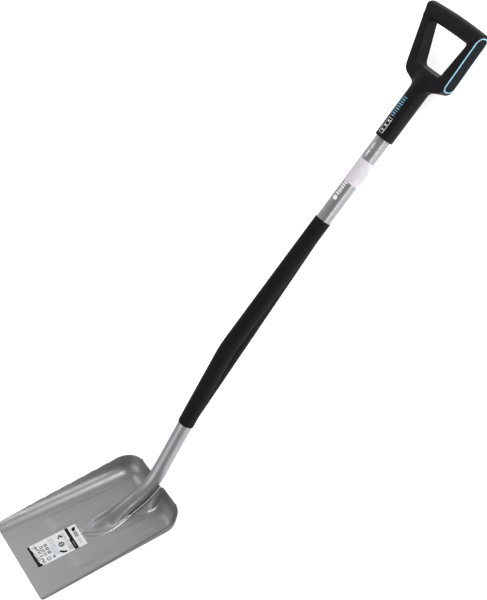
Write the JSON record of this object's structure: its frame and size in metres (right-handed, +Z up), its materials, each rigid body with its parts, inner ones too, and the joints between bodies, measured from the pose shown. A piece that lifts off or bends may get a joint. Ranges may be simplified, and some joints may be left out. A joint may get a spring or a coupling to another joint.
{
  "type": "garden spade",
  "caption": "Garden spade with a pressed pan blade, a cranked steel tube shaft with a soft sleeve, and a canted D-shaped grip, laid on its back.",
  "frame": {"origin": "on the ground under the middle of the tool's bounding box, with the tool lying on its back on the blade's heel and the root of the grip", "axes": "+Y along the tool from the blade to the grip, +Z up, +X across the blade"},
  "size_m": [0.219, 1.319, 0.2271],
  "materials": {
    "blade_paint": "satin",
    "tube_paint": "satin",
    "weld_metal": "satin",
    "sleeve_rubber": "matte, finely textured",
    "grip_plastic": "matte, finely textured",
    "trim_plastic": "satin",
    "soft_panel": "matte",
    "screw_steel": "zinc plated",
    "label_film": "printed film",
    "tube_label_film": "printed film"
  },
  "bodies": {
    "root": {"blade": "blade_paint", "blade_label": "label_film", "grip_body": "grip_plastic", "grip_screw": "screw_steel", "grip_side_panel_left": "soft_panel", "grip_side_panel_right": "soft_panel", "grip_trim_left": "trim_plastic", "grip_trim_right": "trim_plastic", "shaft_sleeve": "sleeve_rubber", "shaft_tube": "tube_paint", "tube_label": "tube_label_film", "weld_left": "weld_metal", "weld_right": "weld_metal"}
  },
  "joints": []
}
